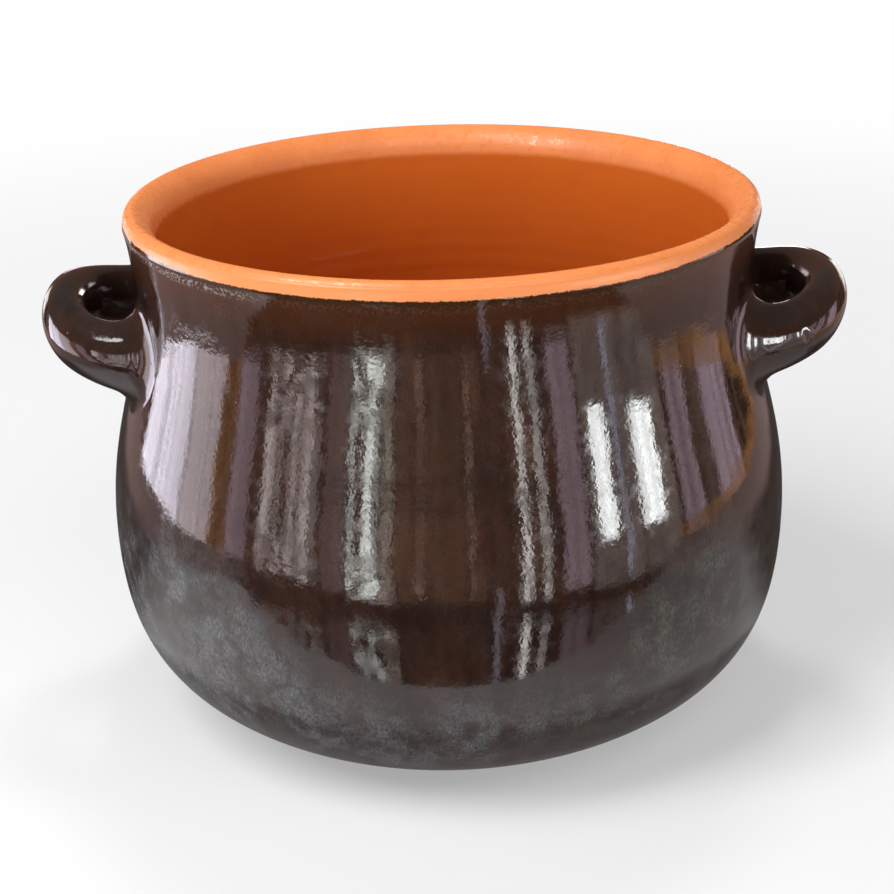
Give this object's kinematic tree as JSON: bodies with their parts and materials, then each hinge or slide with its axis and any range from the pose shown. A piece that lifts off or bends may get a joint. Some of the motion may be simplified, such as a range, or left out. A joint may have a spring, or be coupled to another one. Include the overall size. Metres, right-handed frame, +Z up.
{
  "type": "glazed terracotta pot",
  "caption": "Round-bellied terracotta stew pot with a flared lip and loop handles luted to its shoulder, brown glaze outside and clear glaze inside.",
  "frame": {"origin": "on the table under the middle of the pot's base", "axes": "+Z up along the axis the body was thrown on, +X from the middle towards the right handle, -Y towards the front"},
  "size_m": [0.2332, 0.2, 0.152],
  "materials": {
    "terracotta": "bare fired terracotta",
    "slip": "fired slip, matt",
    "brown_glaze": "glossy dark brown manganese glaze with a slight orange-peel surface",
    "clear_glaze": "glossy clear glaze over orange terracotta"
  },
  "bodies": {
    "root": {"clay_body": "terracotta", "left_handle": "terracotta", "right_handle": "terracotta", "left_front_slip": "slip", "left_back_slip": "slip", "right_front_slip": "slip", "right_back_slip": "slip", "brown_glaze": "brown_glaze", "clear_glaze": "clear_glaze"}
  },
  "joints": []
}
